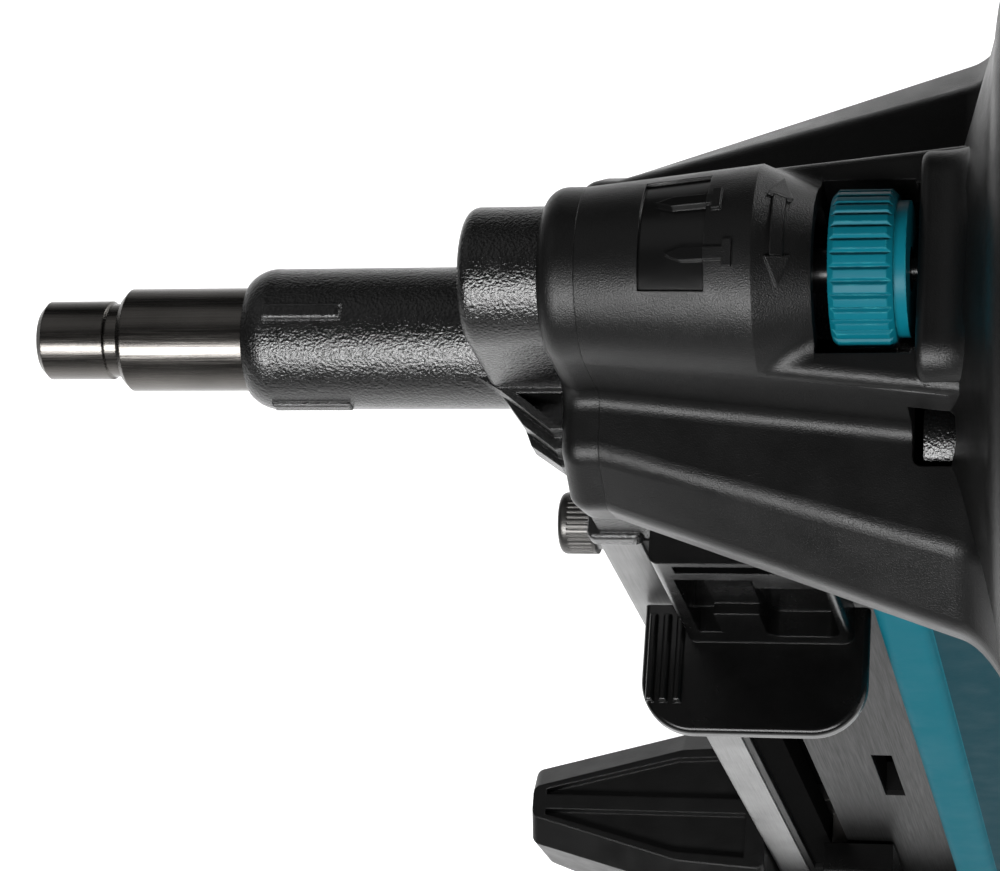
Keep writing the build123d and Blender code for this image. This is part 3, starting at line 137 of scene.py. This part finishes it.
class Look:
    """A Principled material and short names for the nodes that feed it."""

    def __init__(self, name, colour, roughness, metallic=0.0, specular=0.5):
        self.material = bpy.data.materials.new(name)
        self.material.use_nodes = True
        self.tree = self.material.node_tree
        self.shader = self.tree.nodes["Principled BSDF"]
        self.shader.inputs["Base Color"].default_value = (*colour, 1)
        self.shader.inputs["Roughness"].default_value = roughness
        self.shader.inputs["Metallic"].default_value = metallic
        self.shader.inputs["Specular IOR Level"].default_value = specular
        self.place = self.node("ShaderNodeTexCoord").outputs["Object"]
        self.normal = None

    def node(self, kind, **values):
        made = self.tree.nodes.new(kind)
        for key, value in values.items():
            setattr(made, key, value)
        return made

    def link(self, source, target):
        self.tree.links.new(source, target)

    def maths(self, operation, *values):
        """A sum on sockets and plain numbers."""
        made = self.node("ShaderNodeMath", operation=operation)
        for socket, value in zip(made.inputs, values):
            if isinstance(value, (int, float)):
                socket.default_value = value
            else:
                self.link(value, socket)
        return made.outputs["Value"]

    def axes(self):
        """The x, y and z of the place."""
        split = self.node("ShaderNodeSeparateXYZ")
        self.link(self.place, split.inputs["Vector"])
        return [split.outputs[axis] for axis in "XYZ"]

    def stretched(self, scale):
        """The place scaled per axis."""
        mapping = self.node("ShaderNodeMapping")
        mapping.inputs["Scale"].default_value = scale
        self.link(self.place, mapping.inputs["Vector"])
        return mapping.outputs["Vector"]

    def noise(self, size, detail=3.0, rough=0.55, stretch=None):
        """Noise whose features are about `size` metres."""
        made = self.node("ShaderNodeTexNoise")
        made.inputs["Scale"].default_value = 1 / size
        made.inputs["Detail"].default_value = detail
        made.inputs["Roughness"].default_value = rough
        self.link(self.stretched(stretch) if stretch else self.place, made.inputs["Vector"])
        return made.outputs["Fac"]

    def cells(self, size):
        """Rounded cells about `size` metres across."""
        made = self.node("ShaderNodeTexVoronoi", feature="SMOOTH_F1")
        made.inputs["Scale"].default_value = 1 / size
        made.inputs["Smoothness"].default_value = 0.6
        self.link(self.place, made.inputs["Vector"])
        return made.outputs["Distance"]

    def spread(self, source, low, high, out_low=0.0, out_high=1.0, way="LINEAR"):
        """A source between two limits, brought to a new range."""
        made = self.node("ShaderNodeMapRange", clamp=True, interpolation_type=way)
        made.inputs["From Min"].default_value = low
        made.inputs["From Max"].default_value = high
        made.inputs["To Min"].default_value = out_low
        made.inputs["To Max"].default_value = out_high
        self.link(source, made.inputs["Value"])
        return made.outputs["Result"]

    def all_inside(self, limits):
        """1 where every source lies between its two limits, 0 elsewhere."""
        inside = 1
        for source, (low, high) in limits:
            test = self.maths("COMPARE", source, (low + high) / 2, (high - low) / 2)
            inside = self.maths("MULTIPLY", inside, test)
        return inside

    def in_box(self, box):
        """1 inside a box of (low, high) metres on x, |y| and z."""
        x, y, z = self.axes()
        return self.all_inside(zip((x, self.maths("ABSOLUTE", y), z), box))

    def round_axis(self, axis_z, span, angles):
        """1 between two x and two angles about a line along x, which lies at axis_z."""
        x, y, z = self.axes()
        left = self.maths("MULTIPLY", y, -1)
        angle = self.maths("ARCTAN2", left, self.maths("SUBTRACT", z, axis_z))
        return self.all_inside([(x, span), (angle, [math.radians(a) for a in angles])])

    def mixed(self, factor, source, value):
        """A source where the factor is 0, a plain value where it is 1."""
        mix = self.node("ShaderNodeMix", data_type="FLOAT")
        mix.inputs["B"].default_value = value
        self.link(factor, mix.inputs["Factor"])
        self.link(source, mix.inputs["A"])
        return mix.outputs["Result"]

    def edges(self, radius):
        """1 on rounded-off edges, 0 on faces; the softened normal stays for the bump."""
        bevel = self.node("ShaderNodeBevel", samples=BEVEL_SAMPLES)
        bevel.inputs["Radius"].default_value = radius
        self.normal = bevel.outputs["Normal"]
        dot = self.node("ShaderNodeVectorMath", operation="DOT_PRODUCT")
        self.link(self.normal, dot.inputs[0])
        self.link(self.node("ShaderNodeNewGeometry").outputs["Normal"], dot.inputs[1])
        return self.spread(dot.outputs["Value"], *EDGE_COSINES)

    def bump(self, height, depth):
        made = self.node("ShaderNodeBump")
        made.inputs["Distance"].default_value = depth
        made.inputs["Strength"].default_value = 1
        self.link(height, made.inputs["Height"])
        if self.normal:
            self.link(self.normal, made.inputs["Normal"])
        self.normal = made.outputs["Normal"]

    def colour_from(self, mix, factor):
        """Base colour from a colour mix, which the factor drives."""
        self.link(factor, mix.inputs["Factor"])
        self.link(mix.outputs["Result"], self.shader.inputs["Base Color"])
        return mix.outputs["Result"]

    def tint(self, factor, first, second):
        """Base colour between two colours."""
        mix = self.node("ShaderNodeMix", data_type="RGBA")
        mix.inputs["A"].default_value = (*first, 1)
        mix.inputs["B"].default_value = (*second, 1)
        return self.colour_from(mix, factor)

    def over(self, under, factor, colour):
        """A colour laid over another one."""
        mix = self.node("ShaderNodeMix", data_type="RGBA")
        mix.inputs["B"].default_value = (*colour, 1)
        self.link(under, mix.inputs["A"])
        return self.colour_from(mix, factor)

    def mottled(self, source, limits, colour, darker, lighter):
        """Base colour that goes from darker to lighter as a source goes through its limits."""
        return self.tint(self.spread(source, *limits), shade(colour, darker), shade(colour, lighter))

    def worn_and_highlit_edges(self, base, edges, colour):
        """A lighter colour in patches along the edges: rubbed wear, and on the teal also a painted
        highlight.
        """
        patches = self.spread(self.noise(WEAR_AND_HIGHLIGHT_PATCH, 4), *WEAR_AND_HIGHLIGHT_LIMITS)
        return self.over(base, self.maths("MULTIPLY", edges, patches), colour)

    def drifting(self, source, low, high):
        """A noise brought to a range of roughness."""
        return self.spread(source, *MIDDLE_NOISE, low, high)

    def rough_from(self, source):
        self.link(source, self.shader.inputs["Roughness"])

    def done(self):
        if self.normal:
            self.link(self.normal, self.shader.inputs["Normal"])
        return self.material


def grey(value, warm=0.0):
    return (value * (1 + warm), value, value * (1 - warm))


def shade(colour, factor):
    return [c * factor for c in colour]


# Finishes: grain, depth and edge are in millimetres


def moulded_plastic(name, colour, wear_and_highlight, roughness, grain, depth, edge=0.5, specular=0.5, polished=None):
    """Injection moulded plastic: fine grain, soft edges, rubbed corners (on the teal also a painted
    highlight), perhaps a polished field.
    """
    look = Look(name, colour, roughness, specular=specular)
    edges = look.edges(edge * MM)
    base = look.mottled(look.noise(30 * MM, 2), (0.35, 0.65), colour, darker=0.96, lighter=1.03)
    look.worn_and_highlit_edges(base, edges, wear_and_highlight)
    rough = look.drifting(look.noise(6 * MM, 4), roughness - 0.05, roughness + 0.05)
    height = look.noise(grain * MM, 2)
    if polished:
        field = look.round_axis(*polished)
        rough = look.mixed(field, rough, POLISHED_ROUGHNESS)
        height = look.mixed(field, height, POLISHED_HEIGHT)
    look.rough_from(rough)
    look.bump(height, depth * MM)
    return look.done()


def plastic_with_painted_shade(name, colour, wear_and_highlight, painted_shade):
    """Matte moulded plastic with painted shade: darker teal on the two sides of the column."""
    look = Look(name, colour, 0.6, specular=0.03)
    edges = look.edges(0.5 * MM)
    # painted shade: darker teal inside the box on the column's sides
    base = look.tint(look.in_box(COLUMN_PAINTED_SHADE), colour, painted_shade)
    look.worn_and_highlit_edges(base, edges, wear_and_highlight)
    look.rough_from(look.drifting(look.noise(6 * MM, 4), 0.55, 0.65))
    look.bump(look.noise(0.5 * MM, 2), 0.02 * MM)
    return look.done()


def crinkle_paint(name, colour):
    """Wrinkle finish paint: rounded blisters that catch the light."""
    look = Look(name, colour, 0.3, specular=0.8)
    look.edges(0.4 * MM)
    drift = look.noise(0.27 * MM, 3)
    height = look.maths("MULTIPLY_ADD", look.cells(0.44 * MM), 0.8, drift)
    look.rough_from(look.drifting(look.noise(3 * MM, 3), 0.17, 0.27))
    look.mottled(drift, MIDDLE_NOISE, colour, darker=0.8, lighter=1.2)
    look.bump(height, 0.085 * MM)
    return look.done()


def drawn_metal(name, colour, roughness, along, metallic=1.0, specular=0.5):
    """Metal, bare or coated, with fine lines drawn along one axis."""
    look = Look(name, colour, roughness, metallic, specular)
    look.edges(0.3 * MM)
    stretch = [0.02 if axis == along else 1 for axis in "xyz"]
    lines = look.noise(0.25 * MM, 4, 0.6, stretch)
    base = look.mottled(look.noise(14 * MM, 4), (0.35, 0.7), colour, darker=0.8, lighter=1.1)
    look.over(base, look.spread(lines, 0.55, 0.8, 0, 0.35), shade(colour, 0.55))
    look.rough_from(look.drifting(lines, roughness - 0.06, roughness + 0.08))
    look.bump(lines, 0.012 * MM)
    return look.done()


def rubber(name, colour):
    """Soft matte rubber."""
    look = Look(name, colour, 0.75, specular=0.3)
    look.edges(0.4 * MM)
    look.mottled(look.noise(9 * MM, 4), MIDDLE_NOISE, colour, darker=0.8, lighter=1.25)
    look.rough_from(look.drifting(look.noise(2 * MM, 3), 0.68, 0.85))
    look.bump(look.noise(0.5 * MM, 3), 0.05 * MM)
    return look.done()


def foam(name, colour):
    """Open filter foam with dark pores."""
    look = Look(name, colour, 0.95, specular=0.1)
    pores = look.cells(1.6 * MM)
    look.mottled(pores, (0.1, 0.5), colour, darker=0.4, lighter=1)
    look.rough_from(look.spread(pores, 0, 0.6, 0.9, 1.0))
    look.bump(pores, 0.5 * MM)
    return look.done()


def circuit_board(name, mask, track):
    """Green board with lighter tracks that run along z."""
    look = Look(name, mask, 0.4)
    tracks = look.noise(1.2 * MM, 1, 0.5, (1, 1, 0.15))
    look.tint(look.spread(tracks, 0.48, 0.54), mask, track)
    look.rough_from(look.drifting(tracks, 0.3, 0.45))
    look.bump(tracks, 0.03 * MM)
    return look.done()


TEAL = (0.002, 0.140, 0.186)
TEAL_DEEP = (0.002, 0.108, 0.146)
# painted shade colour for the shaded sides of the column
TEAL_PAINTED_SHADE = (0.001, 0.034, 0.047)
# lighter teal on the edges: wear, and a painted highlight on the wheel's rib edges
TEAL_WEAR_AND_HIGHLIGHT = (0.03, 0.26, 0.29)
BLACK = grey(0.0035)
BLACK_WORN = grey(0.018)

# One finish for each slot of the record, and for the nodes that differ from their slot
LOOKS = {
    "probe_steel": partial(drawn_metal, colour=grey(0.12, 0.06), roughness=0.24, along="x"),
    "cast_black": partial(crinkle_paint, colour=grey(0.003)),
    "cover_black": partial(moulded_plastic, colour=BLACK, wear_and_highlight=BLACK_WORN, roughness=0.36, grain=0.2,
                           depth=0.055, edge=0.25, specular=0.33, polished=SIGN_FIELD),
    "gloss_black": partial(moulded_plastic, colour=grey(0.0015), wear_and_highlight=grey(0.006), roughness=0.24,
                           grain=1.2, depth=0.01, edge=0.3, specular=0.35),
    "foot_black": partial(moulded_plastic, colour=grey(0.002), wear_and_highlight=grey(0.01), roughness=0.4,
                          grain=0.6, depth=0.02, specular=0.3),
    "guide_black": partial(moulded_plastic, colour=grey(0.006), wear_and_highlight=grey(0.01), roughness=0.85,
                           grain=0.6, depth=0.02, edge=0.3, specular=0.0),
    "teal": partial(moulded_plastic, colour=TEAL_DEEP, wear_and_highlight=TEAL_WEAR_AND_HIGHLIGHT, roughness=0.38,
                    grain=0.5, depth=0.015, edge=0.35, specular=0.12),
    "housing_teal": partial(plastic_with_painted_shade, colour=TEAL_DEEP, wear_and_highlight=TEAL, painted_shade=TEAL_PAINTED_SHADE),
    "rail_steel": partial(drawn_metal, colour=grey(0.24), roughness=0.42, along="z"),
    "plate_steel": partial(drawn_metal, colour=grey(0.008), roughness=0.4, along="z",
                           metallic=0.0, specular=0.08),
    "screw_steel": partial(drawn_metal, colour=grey(0.10, 0.03), roughness=0.36, along="x"),
    "spring_steel": partial(drawn_metal, colour=grey(0.42), roughness=0.3, along="x"),
    "blade_steel": partial(drawn_metal, colour=grey(0.5), roughness=0.22, along="x"),
    "aluminium": partial(drawn_metal, colour=grey(0.68), roughness=0.34, along="y"),
    "motor_can": partial(drawn_metal, colour=grey(0.6), roughness=0.25, along="x"),
    "rubber": partial(rubber, colour=grey(0.014)),
    "filter_foam": partial(foam, colour=grey(0.05)),
    "dark_plastic": partial(moulded_plastic, colour=grey(0.02), wear_and_highlight=BLACK_WORN, roughness=0.5,
                            grain=0.6, depth=0.02),
    "board": partial(circuit_board, mask=(0.008, 0.08, 0.035), track=(0.015, 0.16, 0.06)),
    "brass": partial(drawn_metal, colour=(0.72, 0.50, 0.20), roughness=0.25, along="x"),
}
NODE_LOOKS = {
    "housing_left": "housing_teal",
    "housing_right": "housing_teal",
    "fuel_door": "housing_teal",
    "support_foot": "foot_black",
    "depth_spindle": "gloss_black",
    "magazine_guide_left": "guide_black",
    "magazine_guide_right": "guide_black",
}


def dress_nodes():
    made = {name: make(name) for name, make in LOOKS.items()}
    for entry in frame["record"]["subparts"]:
        mesh = nodes[entry["node"]].data
        mesh.materials.clear()
        mesh.materials.append(made[NODE_LOOKS.get(entry["node"], entry["material_slot"])])
    return made


# Coil springs


def coil_mesh(name, start, length, radius, wire, turns):
    """Round wire wound about the x axis through start."""
    steps = turns * COIL_STEPS
    climb = length - 2 * wire
    slope = climb / (turns * 2 * math.pi * radius)
    points = []
    for i in range(steps + 1):
        turn = 2 * math.pi * i / COIL_STEPS
        out = Vector((0, math.cos(turn), math.sin(turn)))
        along = Vector((slope, -math.sin(turn), math.cos(turn))).normalized()
        across = along.cross(out)
        middle = start + Vector((wire + climb * i / steps, 0, 0)) + out * radius
        for k in range(WIRE_SIDES):
            angle = 2 * math.pi * k / WIRE_SIDES
            points.append(middle + wire * (math.cos(angle) * out + math.sin(angle) * across))
    front = tuple(reversed(range(WIRE_SIDES)))
    rear = tuple(steps * WIRE_SIDES + k for k in range(WIRE_SIDES))
    faces = [front, rear]
    for i in range(steps):
        row, above = i * WIRE_SIDES, (i + 1) * WIRE_SIDES
        for k in range(WIRE_SIDES):
            after = (k + 1) % WIRE_SIDES
            faces.append((row + k, row + after, above + after, above + k))
    mesh = bpy.data.meshes.new(name)
    mesh.from_pydata(points, [], faces)
    mesh.polygons.foreach_set("use_smooth", [True] * len(faces))
    return mesh


def coil_spring(node):
    """Coil in the space of a spring's node; gives the piece and the middles of its two ends."""
    wire_mm, turns = COILS[node]
    wire = wire_mm * MM
    low, high = (Vector(corner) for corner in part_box(node))
    middle = (low + high) / 2
    start = Vector((low.x, middle.y, middle.z))
    end = Vector((high.x, middle.y, middle.z))
    radius = (high.y - low.y) / 2 - wire
    mesh = coil_mesh(node + "_coil", start, high.x - low.x, radius, wire, turns)
    mesh.materials.append(looks["spring_steel"])
    piece = bpy.data.objects.new(node + "_coil", mesh)
    bpy.context.scene.collection.objects.link(piece)
    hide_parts(node)
    return piece, start, end


def pressed_spring(node):
    """Coil for a spring that a slide presses against its rear end; the coil is parented to the body."""
    piece, start, end = coil_spring(node)
    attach(piece, "body")
    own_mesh(piece)


def pulled_spring(node):
    """Coil for a spring whose front end goes with a moving body; the coil is left fixed where it is
    made.
    """
    piece, start, end = coil_spring(node)
    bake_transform(piece)


# Studio


def floor_material():
    """Pale floor that is close to white to the eye and keeps a soft shadow."""
    look = Look("floor", FLOOR_COLOUR, FLOOR_ROUGHNESS)
    look.shader.inputs["Emission Color"].default_value = (1, 1, 1, 1)
    path = look.node("ShaderNodeLightPath").outputs
    seen = path["Is Camera Ray"]
    for other in ("Is Glossy Ray", "Is Transmission Ray"):
        seen = look.maths("MAXIMUM", seen, path[other])
    far = look.node("ShaderNodeVectorMath", operation="LENGTH")
    look.link(look.place, far.inputs[0])
    fade = look.spread(far.outputs["Value"], *FLOOR_FADE, FLOOR_GLOW, FLOOR_GLOW_FAR, way="SMOOTHSTEP")
    look.link(look.maths("MULTIPLY", seen, fade), look.shader.inputs["Emission Strength"])
    return look.done()


def floor():
    mesh = bpy.data.meshes.new("floor")
    half = FLOOR_SIZE / 2
    corners = [(-half, -half, 0), (half, -half, 0), (half, half, 0), (-half, half, 0)]
    mesh.from_pydata(corners, [], [(0, 1, 2, 3)])
    mesh.materials.append(floor_material())
    made = bpy.data.objects.new("floor", mesh)
    made.location = (*FLOOR_MIDDLE, cad_box[0][2] - FLOOR_GAP)
    bpy.context.scene.collection.objects.link(made)


def area_light(name, place, target, size, watts):
    data = bpy.data.lights.new(name, "AREA")
    data.shape = "RECTANGLE"
    data.size, data.size_y = size
    data.energy = watts
    made = bpy.data.objects.new(name, data)
    made.location = place
    made.rotation_euler = (Vector(target) - Vector(place)).to_track_quat("-Z", "Y").to_euler()
    bpy.context.scene.collection.objects.link(made)


def studio():
    floor()
    world = bpy.data.worlds.new("studio")
    world.use_nodes = True
    background = world.node_tree.nodes["Background"]
    background.inputs["Color"].default_value = (1, 1, 1, 1)
    background.inputs["Strength"].default_value = WORLD_LIGHT
    bpy.context.scene.world = world
    for name, lamp in LAMPS.items():
        area_light(name, *lamp)


def camera():
    data = bpy.data.cameras.new("photo_camera")
    data.sensor_width = SENSOR_MM
    data.lens = CAMERA_FOCUS_PX / IMAGE_WIDTH * SENSOR_MM
    data.clip_start = CAMERA_NEAR
    made = bpy.data.objects.new("photo_camera", data)
    back = CAMERA_RIGHT.cross(CAMERA_UP).normalized()
    up = back.cross(CAMERA_RIGHT).normalized()
    right = up.cross(back)
    turn = Matrix((right, up, back)).transposed()
    made.matrix_world = Matrix.Translation(CAMERA_PLACE) @ turn.to_4x4()
    bpy.context.scene.collection.objects.link(made)
    bpy.context.scene.camera = made


looks = dress_nodes()
pressed_spring("probe_return_spring")
pressed_spring("trigger_spring")
pulled_spring("latch_spring")
studio()
camera()
bpy.context.scene.view_settings.view_transform = "Standard"
